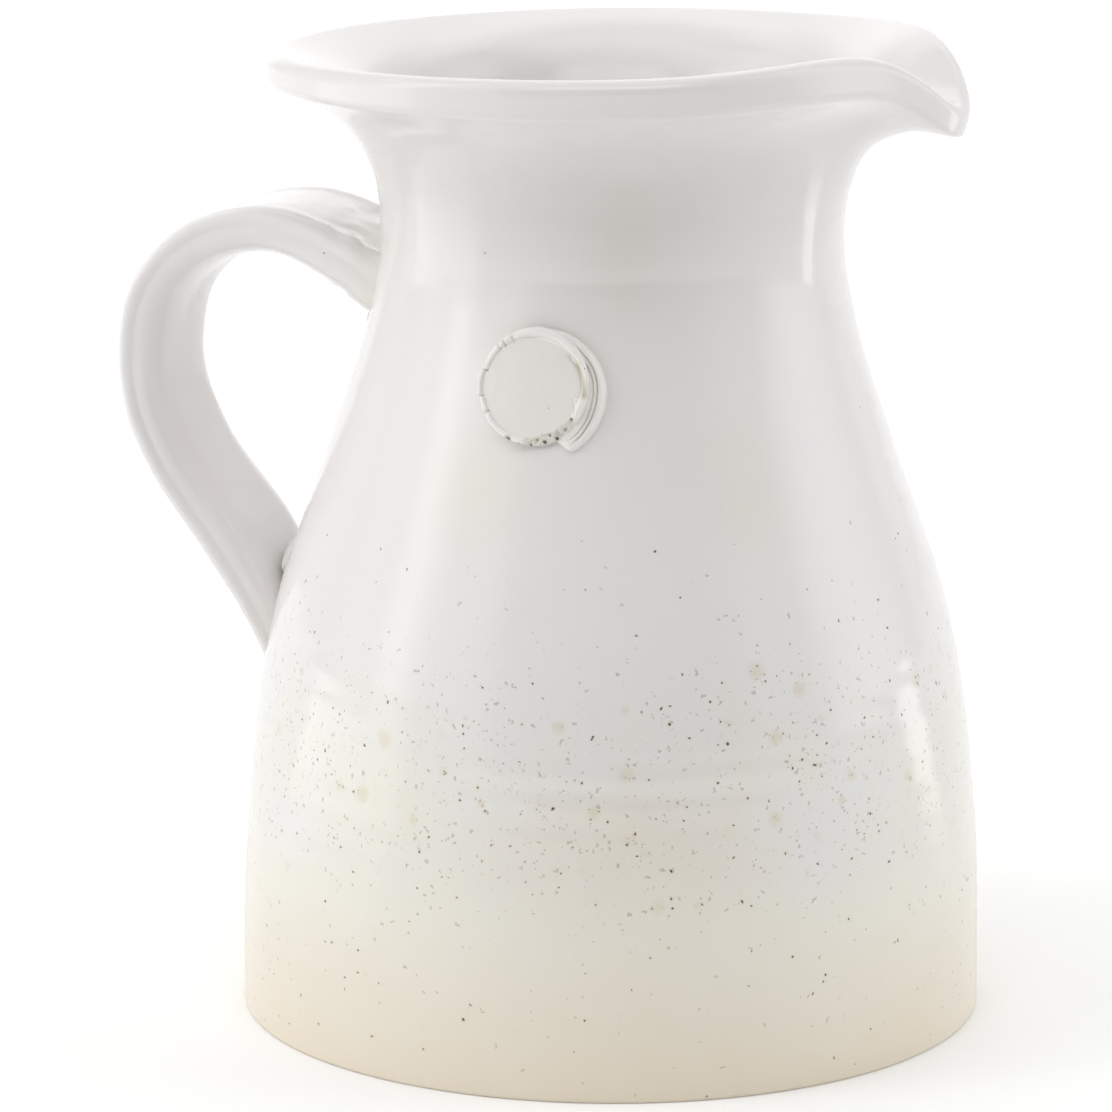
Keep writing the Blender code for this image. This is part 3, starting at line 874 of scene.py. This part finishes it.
def makeStrap(finish):
    path = strapPath()
    # the ends close to a point, inside the wall
    closed = [path[0]] + path + [path[-1]]
    line = lineMesh("strap", [(p[0], 0.0, p[1]) for p in closed])
    ends = np.ones(len(closed))
    ends[[0, -1]] = 0.0
    addMarks(line.data, "thick", [p[2] for p in closed] * ends)
    addMarks(line.data, "wide", [p[3] for p in closed] * ends)
    section = lineMesh("strap_section", [(p[0], 0.0, p[1]) for p in strapSection()])
    bakeTree(line, strapTree(finish, section), strapWobble)
    bpy.data.objects.remove(section)

    # near the wall the strap is rounded over, away from the middle of its line, until it lies along
    # the wall; the rows are marked after the points have moved, so they all fall near that middle
    mesh = line.data
    spots = vertexArray(mesh)
    row = readMarks(mesh, "row")
    centers = np.zeros_like(spots)
    for i, column in ((0, 0), (2, 1)):
        centers[:, i] = np.interp(row, range(len(closed)), [p[column] for p in closed])
    away = spots - centers
    away /= np.maximum(np.linalg.norm(away, axis=1), 1e-9)[:, None]
    gap = offWall(spots)
    ragged = np.array([noise.noise(Vector(spot) * strap["lumpScale"]) for spot in spots])
    rounding = np.interp(spots[:, 2], strap["roundHeights"], strap["rounds"])
    rounding = rounding * (1.0 + strap["roundRaggedness"] * ragged)
    near = np.clip(1.0 - gap / rounding, 0.0, 1.0)
    spots += away * (rounding * (1.0 - np.sqrt(1.0 - near * near)))[:, None]
    pressed = np.clip(1.0 - gap / strap["smearReach"], 0.0, 1.0) * (gap > 0.0)
    flat = strap["smearFlatness"]
    places = [Vector((spot.x, spot.y, spot.z * flat)) for spot in map(Vector, spots)]
    smears = np.array([noise.noise(place * strap["smearScale"]) for place in places])
    spots += away * (strap["smears"] * smears * np.sin(math.pi * pressed))[:, None]
    mesh.vertices.foreach_set("co", spots.astype(np.float32).ravel())
    below, lowFade, lowShare = strap["lowerPool"]
    above, highFade, highShare = strap["upperPool"]
    low = np.clip((below - spots[:, 2]) / lowFade, 0.0, 1.0)
    high = np.clip((spots[:, 2] - above) / highFade, 0.0, 1.0)
    pool = np.clip(1.0 - gap / strap["poolReach"], 0.0, 1.0) * (lowShare * low + highShare * high)
    addMarks(mesh, "pool", pool * (0.6 + 0.8 * np.abs(ragged)))
    mesh.update()
    handOver(line, "strap_handle")


makeStrap(finishes["handle"])


# A smooth closed piece from rows of points; points that fall together are merged.
def meshPiece(name, spots, faces, finish, marks):
    mesh = bpy.data.meshes.new(name)
    mesh.from_pydata([tuple(spot) for spot in spots], [], faces)
    for key, values in marks.items():
        addMarks(mesh, key, values)
    work = bmesh.new()
    work.from_mesh(mesh)
    bmesh.ops.remove_doubles(work, verts=work.verts, dist=mergeDistance)
    work.to_mesh(mesh)
    work.free()
    mesh.shade_smooth()
    pointOutwards(mesh)
    mesh.materials.append(finish)
    piece = bpy.data.objects.new(name, mesh)
    bpy.context.scene.collection.objects.link(piece)
    return piece


# The faces of a sheet of points in rings, each ring closed on itself.
def ringFaces(rings, turns):
    faces = []
    for i in range(rings - 1):
        for j in range(turns):
            k = (j + 1) % turns
            faces.append((i * turns + j, i * turns + k, (i + 1) * turns + k, (i + 1) * turns + j))
    return faces


# Clay pressed into the two corners under the strap: its length as a share of the solid's, then how
# much it is grown, how far it is sunk into the wall and its lumps, in metres.
lutings = {
    "upper_luting": {"length": 0.72, "grow": 0.0002, "sink": 0.0010, "lumps": 0.0004, "seed": 3.0},
    "lower_luting": {"length": 0.86, "grow": 0.0001, "sink": 0.0020, "lumps": 0.0006, "seed": 8.0},
}
lutingTaper = 1.6
lutingLumpScale = 120.0
lutingPoolReach = 0.004


def makeLuting(node, finish):
    look = lutings[node]
    low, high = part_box(node)
    center = (low + high) / 2.0
    size = (high - low) / 2.0
    rows, columns = 48, 96
    spots = []
    for i in range(rows + 1):
        for j in range(columns):
            tilt, turn = math.pi * i / rows, 2.0 * math.pi * j / columns
            # it thins out towards both of its ends
            girth = math.sin(tilt) ** lutingTaper
            ray = Vector((girth * math.cos(turn), math.cos(tilt), girth * math.sin(turn)))
            spot = center + Vector([a * (b + look["grow"]) for a, b in zip(ray, size)])
            spot.y *= look["length"]
            spot.x += look["sink"]
            lump = noise.fractal(spot * lutingLumpScale + Vector((look["seed"],) * 3), 0.9, 2.0, 2)
            spots.append(spot + ray * look["lumps"] * lump)
    pool = np.clip(1.0 - offWall(np.array(spots)) / lutingPoolReach, 0.0, 1.0)
    piece = meshPiece("strap_" + node, spots, ringFaces(rows + 1, columns), finish, {"pool": pool})
    handOver(piece, node)


for node in lutings:
    makeLuting(node, finishes["luting"])


# The seal. Angles are in degrees anticlockwise from the right, seen from the front, and lengths in
# millimetres over the flat of the disc. The tables go round: angle, value.
seal = {
    "drop": 29.6,
    "faceStand": 2.7,
    # how much darker the face is painted than the rim, as painted shade
    "facePaintedShade": 0.13,
    "hug": 0.45,
    "edge": [
        (0, 14.3), (45, 15.0), (85, 15.3), (125, 14.5), (161, 13.9), (166, 14.4), (190, 14.4), (195, 13.8),
        (225, 14.1), (262, 14.3), (290, 14.7), (325, 14.5)],
    "rimWidth": [
        (0, 1.5), (45, 2.2), (90, 2.7), (130, 1.7), (180, 1.3), (225, 1.5), (260, 1.6), (285, 2.7),
        (325, 2.0)],
    "rimHeight": [
        (0, 0.45), (60, 0.8), (100, 0.9), (140, 0.6), (180, 0.55), (225, 0.6), (262, 0.5), (272, 0.1),
        (320, 0.0), (335, 0.4)],
    # the part of the rim that is torn away, how soft its ends are, how far it drops and its roughness
    "torn": (268.0, 326.0),
    "tornFade": 3.0,
    "tornDrop": 1.3,
    "tornRoughness": 0.42,
    # angle, width in degrees, depth
    "cracks": [
        (116, 1.6, 0.25), (127, 1.3, 0.45), (134, 1.0, 0.3), (163, 1.3, 0.55), (192, 1.3, 0.55),
        (211, 1.5, 0.5)],
    # angle, radius of the place, radius of the pit, depth, darkness
    "pits": [
        (249, 14.1, 0.80, 1.20, 0.75), (262, 14.4, 0.30, 0.35, 0.30), (273, 14.2, 0.38, 0.50, 0.80),
        (281, 13.2, 0.34, 0.40, 0.50), (288, 14.0, 0.50, 0.60, 0.95), (296, 12.9, 0.34, 0.40, 0.60),
        (301, 14.2, 0.46, 0.60, 0.95), (313, 13.6, 0.36, 0.45, 0.60), (326, 13.1, 0.40, 0.55, 0.70),
        (349, 15.1, 0.26, 0.25, 0.40), (22, 14.3, 0.22, 0.25, 0.80),
    ],
    # the groove inside the rim: angle, radius; and the serrated ridge outside it: how far off, width,
    # height and teeth in a full turn
    "groove": [(-12, 13.8), (15, 13.1), (47, 12.1)],
    "grooveWidth": 0.70,
    "grooveDepth": 0.50,
    "grooveRise": (-14.0, -6.0),
    "grooveFall": (34.0, 52.0),
    "ridgeOff": 1.15,
    "ridgeWidth": 0.30,
    "ridgeHeight": 0.28,
    "ridgeTeeth": 26.0,
    # how strongly glaze pools in the groove, beside the chip, in a crack and round a pit
    "poolShares": (0.85, 0.5, 0.7, 0.6),
    "chipPlace": (12.9, -4.6),
    "chipSize": (1.5, 2.7),
    "chipStand": 0.55,
    "chipTurn": 10.0,
    "padEdge": [
        (-64, 13.2), (-55, 18.7), (-50, 18.9), (-25, 18.6), (0, 18.1), (30, 17.2), (60, 16.1), (85, 15.0),
        (110, 13.4), (180, 13.0), (270, 13.0)],
    "padStand": [
        (-64, 0.4), (-54, 1.3), (-25, 2.2), (0, 2.5), (60, 2.9), (90, 2.6), (115, 1.0), (180, 0.5),
        (270, 0.4)],
    "padRound": 1.0,
    # under the disc's face the pad is lower: from one radius to the other, by so much
    "padHollow": (10.0, 12.8, 1.2),
    # distance from the edge, width and depth of each groove, and the angles between which they run
    "padGrooves": [(1.75, 0.20, 0.75), (2.75, 0.24, 0.55)],
    "padGrooveRise": (-56.0, -40.0),
    "padGrooveFall": (25.0, 60.0),
    "padDepth": 0.9,
    # the sheets' rings and directions
    "rings": 110,
    "turns": 420,
}
millimetre = 0.001


def wallFrame(height):
    step = 0.004
    radius = float(outerRadius(height))
    lean = math.atan2(float(outerRadius(height - step) - outerRadius(height + step)), 2.0 * step)
    normal = Vector((0.0, -math.cos(lean), math.sin(lean)))
    upward = Vector((0.0, math.sin(lean), math.cos(lean)))
    turn = Matrix((upward.cross(normal), upward, normal)).transposed().to_4x4()
    return Matrix.Translation((0.0, -radius, height)) @ turn


sealFrame = wallFrame(neckHeight - seal["drop"] * millimetre)


# How high the wall stands over the seal's own plane, at places on it.
def wallUnder(x, y):
    turn = np.array(sealFrame)
    level = np.zeros_like(x)
    for _ in range(12):
        spots = np.stack([x, y, level, np.ones_like(x)], -1) @ turn.T
        level = level - offWall(spots[..., :3].reshape(-1, 3)).reshape(x.shape)
    return level


def bell(values, width):
    return np.exp(-(values / width) ** 2)


def ramp(values, low, high):
    share = np.clip((values - low) / (high - low), 0.0, 1.0)
    return share * share * (3.0 - 2.0 * share)


def turnedBy(angles, center):
    return (angles - center + 180.0) % 360.0 - 180.0


def lumps(x, y, scale, seed):
    places = [Vector((a * scale, b * scale, seed)) for a, b in zip(x.ravel(), y.ravel())]
    return np.array([noise.fractal(place, 0.9, 2.0, 4) for place in places]).reshape(x.shape)


def roundTable(name, angles):
    rows = sorted((angle % 360.0, value) for angle, value in seal[name])
    return np.interp(angles, [row[0] for row in rows], [row[1] for row in rows], period=360.0)


# Rings by directions over the seal's plane, out to an edge that changes with the direction.
def polarSheet(edge):
    angles = np.linspace(0.0, 360.0, seal["turns"], endpoint=False)
    # the rings stand closer towards the edge
    shares = np.linspace(0.0, 1.0, seal["rings"]) ** 0.7
    share, angle = np.meshgrid(shares, angles, indexing="ij")
    reach = share * roundTable(edge, angle)
    return angle, reach, reach * np.cos(np.radians(angle)), reach * np.sin(np.radians(angle))


# A round piece from a sheet of heights in millimetres, with a side below its edge and a flat bottom.
def roundPiece(name, x, y, top, bottom, marks, finish):
    rings, turns = x.shape
    levels = [np.stack([x, y, top], -1)]
    for share in (0.12, 0.3, 0.55, 0.8):
        side = top[-1] + (bottom[-1] - top[-1]) * share
        levels.append(np.stack([x[-1], y[-1], side], -1)[None])
    levels.append(np.stack([x, y, bottom], -1)[::-1])
    local = np.concatenate(levels).reshape(-1, 3) * millimetre
    spots = [sealFrame @ Vector(spot) for spot in local]
    faces = ringFaces(len(local) // turns, turns)
    full = {}
    for key, values in marks.items():
        full[key] = np.zeros(len(local))
        full[key][:values.size] = np.clip(values.ravel(), 0.0, 1.0)
    return meshPiece(name, spots, faces, finish, full)


def makeSealDisc(finish):
    look = seal
    angle, reach, x, y = polarSheet("edge")
    edge = roundTable("edge", angle)
    inset = (edge - reach) / roundTable("rimWidth", angle)
    level = look["faceStand"] + look["hug"] * wallUnder(x * millimetre, y * millimetre) / millimetre
    bead = np.sqrt(np.clip(1.0 - (2.0 * inset - 1.0) ** 2, 0.0, 1.0))
    top = level + roundTable("rimHeight", angle) * bead * (inset < 1.0)
    top = top + 0.06 * lumps(x, y, 0.28, 2.0) - 0.25 * bell(inset, 0.18)

    # the lower right is torn away, rough and falling
    start, end = look["torn"]
    fade = look["tornFade"]
    torn = ramp(angle, start - fade, start + fade) * (1.0 - ramp(angle, end - fade, end + fade))
    broken = torn * (1.0 - ramp(inset, 0.75, 1.15))
    rough = lumps(x, y, 0.85, 5.0)
    drop = look["tornDrop"] * (1.0 - np.clip(inset, 0.0, 1.0)) ** 0.8
    top = top - broken * (drop + look["tornRoughness"] * rough)
    # the pool mark: glaze pooled where the rim is torn, and a painted shade over the face that leaves the
    # rim lighter
    pool = broken * (0.30 + 0.45 * (rough > 0.15)) + look["facePaintedShade"] * ramp(inset, 0.9, 1.25)

    # the groove inside the rim at the right, and the serrated ridge beside it
    turned = turnedBy(angle, 0.0)
    path = np.interp(turned, *zip(*look["groove"]))
    window = ramp(turned, *look["grooveRise"]) * (1.0 - ramp(turned, *look["grooveFall"]))
    groove = bell(reach - path, look["grooveWidth"]) * window
    teeth = 0.7 + 0.5 * np.sin(np.radians(angle * look["ridgeTeeth"]))
    serrated = bell(reach - path - look["ridgeOff"], look["ridgeWidth"]) * window * teeth
    top = top - look["grooveDepth"] * groove + look["ridgeHeight"] * serrated
    inGroove, byChip, inCrack, roundPit = look["poolShares"]
    pool = pool + inGroove * groove

    # a chip that is pushed up at the right
    turn = math.radians(look["chipTurn"])
    right, up = x - look["chipPlace"][0], y - look["chipPlace"][1]
    across = right * math.cos(turn) + up * math.sin(turn)
    along = up * math.cos(turn) - right * math.sin(turn)
    wide, tall = look["chipSize"]
    chip = (1.0 - ramp(np.abs(across), wide - 0.3, wide)) * (1.0 - ramp(np.abs(along), tall - 0.35, tall))
    top = top + look["chipStand"] * chip
    pool = pool + byChip * bell(np.abs(across) - wide, 0.22) * (np.abs(along) < tall) * (across < 0.0)

    pit = np.zeros_like(top)
    for at, wide, depth in look["cracks"]:
        crack = bell(turnedBy(angle, at), wide) * (1.0 - ramp(inset, 0.8, 1.5))
        top = top - depth * crack
        pool = pool + inCrack * crack
    for at, place, size, depth, dark in look["pits"]:
        turn = math.radians(at)
        gone = np.hypot(x - place * math.cos(turn), y - place * math.sin(turn)) + 0.16 * rough
        hole = 1.0 - ramp(gone, 0.5 * size, size)
        top = top - depth * hole
        pit = pit + dark * hole * hole
        pool = pool + roundPit * (1.0 - ramp(gone, 0.8 * size, 1.7 * size))
    bottom = np.minimum(wallUnder(x * millimetre, y * millimetre) / millimetre + 0.2, top - 0.3)
    piece = roundPiece("stamped_seal", x, y, top, bottom, {"pool": pool, "pit": pit}, finish)
    handOver(piece, "seal_disc")


def makeSealPad(finish):
    look = seal
    angle, reach, x, y = polarSheet("padEdge")
    inset = roundTable("padEdge", angle) - reach
    wall = wallUnder(x * millimetre, y * millimetre) / millimetre
    quarter = np.clip(1.0 - inset / look["padRound"], 0.0, 1.0)
    stand = roundTable("padStand", angle) * np.sqrt(1.0 - quarter * quarter * 0.96)
    start, end, hollow = look["padHollow"]
    stand = stand - hollow * (1.0 - ramp(reach, start, end))
    pool = np.zeros_like(stand)
    turned = turnedBy(angle, 0.0)
    for place, wide, depth in look["padGrooves"]:
        window = ramp(turned, *look["padGrooveRise"]) * (1.0 - ramp(turned, *look["padGrooveFall"]))
        groove = bell(inset - place + 0.12 * np.sin(np.radians(turned * 6.0)), wide) * window
        stand = stand - depth * groove
        pool = pool + 0.6 * groove
    stand = stand + 0.06 * lumps(x, y, 0.45, 9.0)
    marks = {"pool": pool, "pit": np.zeros_like(pool)}
    top = wall + np.maximum(stand, 0.05)
    piece = roundPiece("seal_pad_clay", x, y, top, wall - look["padDepth"], marks, finish)
    handOver(piece, "seal_pad")


makeSealDisc(finishes["seal"])
makeSealPad(finishes["seal"])


# soft boxes round the object: side and rise of the middle, half the width and height, all in degrees
# from the camera's own direction, and strength
studio = {
    "sky": 0.0,
    "softness": 9.0,
    "boxes": {
        "leftFront": (-55.0, 28.0, 14.0, 28.0, 1.0),
        "leftCore": (-76.0, 28.0, 7.0, 26.0, 2.3),
        "left": (-88.0, 25.0, 14.0, 32.0, 1.15),
        "leftSide": (-112.0, 25.0, 12.0, 32.0, 0.6),
        "leftBack": (-140.0, 25.0, 16.0, 30.0, 0.7),
        "leftHigh": (-90.0, 58.0, 40.0, 14.0, 1.0),
        "rightFront": (60.0, 28.0, 14.0, 28.0, 0.62),
        "right": (88.0, 25.0, 12.0, 30.0, 2.0),
        "rightSide": (108.0, 25.0, 10.0, 32.0, 1.35),
        "rightBack": (138.0, 25.0, 16.0, 30.0, 0.95),
        "back": (180.0, 25.0, 24.0, 30.0, 1.2),
        "backHigh": (180.0, 60.0, 40.0, 14.0, 0.6),
        "frontHigh": (0.0, 55.0, 40.0, 12.0, 2.7),
        "top": (0.0, 90.0, 180.0, 22.0, 0.85),
    },
    "floor": (0.90, 0.90, 0.90),
    "floorRoughness": 0.9,
    "floorReach": 12.0,
    "nearGlow": 0.09,
    "farGlow": 0.07,
    "glowReach": (0.15, 0.9),
    # parts of the floor beside the object that shine up: middle and half the width in degrees, strength
    "floorGlows": {"left": (-90.0, 22.0, 0.95), "right": (109.0, 5.0, 1.8)},
    "floorGlowsFrom": (0.16, 0.80),
    "glowSoftness": 1.5,
}


def offSide(side, middle):
    return ((side + (540.0 - middle - view["azimuth"])).do("FLOORED_MODULO", 360.0) - 180.0).size()


def makeSky(sky, boxes):
    world = bpy.data.worlds.new("studio")
    world.use_nodes = True
    bpy.context.scene.world = world
    tree = world.node_tree
    toward = addNode(tree, "ShaderNodeTexCoord").outputs["Generated"]
    parts = addNode(tree, "ShaderNodeSeparateXYZ", _0=toward)
    x, y, z = [Term(tree, parts.outputs[axis]) for axis in "XYZ"]
    side = x.do("ARCTAN2", 0.0 - y) * (180.0 / math.pi)
    rise = z.do("ARCSINE") * (180.0 / math.pi)
    soft = studio["softness"]
    strength = Term(tree, addNode(tree, "ShaderNodeValue").outputs[0])
    strength.socket.default_value = sky
    for middle, high, wide, tall, power in boxes.values():
        inWidth = 1.0 - offSide(side, middle).step(wide - soft, wide + soft)
        inHeight = 1.0 - (rise - high).size().step(tall - soft, tall + soft)
        strength = strength + inWidth * inHeight * power
    ground = tree.nodes["Background"]
    ground.inputs["Color"].default_value = (1.0, 1.0, 1.0, 1.0)
    feed(tree, ground.inputs["Strength"], strength)


def makeFloor(glows):
    floor = bpy.data.meshes.new("floor")
    reach = studio["floorReach"]
    corners = [(-reach, -reach, 0.0), (reach, -reach, 0.0), (reach, reach, 0.0), (-reach, reach, 0.0)]
    floor.from_pydata(corners, [], [(0, 1, 2, 3)])
    paper = bpy.data.materials.new("pale_floor")
    paper.use_nodes = True
    tree = paper.node_tree
    shader = tree.nodes["Principled BSDF"]
    shader.inputs["Base Color"].default_value = (*studio["floor"], 1.0)
    shader.inputs["Roughness"].default_value = studio["floorRoughness"]
    shader.inputs["Emission Color"].default_value = (1.0, 1.0, 1.0, 1.0)
    spot = addNode(tree, "ShaderNodeTexCoord").outputs["Object"]
    length = addNode(tree, "ShaderNodeVectorMath", {"operation": "LENGTH"}, _0=spot)
    away = Term(tree, length.outputs["Value"])
    glow = away.step(*studio["glowReach"]) * (studio["farGlow"] - studio["nearGlow"]) + studio["nearGlow"]
    parts = addNode(tree, "ShaderNodeSeparateXYZ", _0=spot)
    x, y = [Term(tree, parts.outputs[axis]) for axis in "XY"]
    side = x.do("ARCTAN2", 0.0 - y) * (180.0 / math.pi)
    beside = away.step(*studio["floorGlowsFrom"])
    for middle, wide, power in glows.values():
        soft = studio["glowSoftness"]
        glow = glow + (1.0 - offSide(side, middle).step(wide - soft, wide + soft)) * beside * power
    feed(tree, shader.inputs["Emission Strength"], glow)
    floor.materials.append(paper)
    ground = bpy.data.objects.new("floor", floor)
    bpy.context.scene.collection.objects.link(ground)


makeSky(studio["sky"], studio["boxes"])
makeFloor(studio["floorGlows"])
bpy.context.scene.view_settings.view_transform = "Standard"
print("studio is lit")
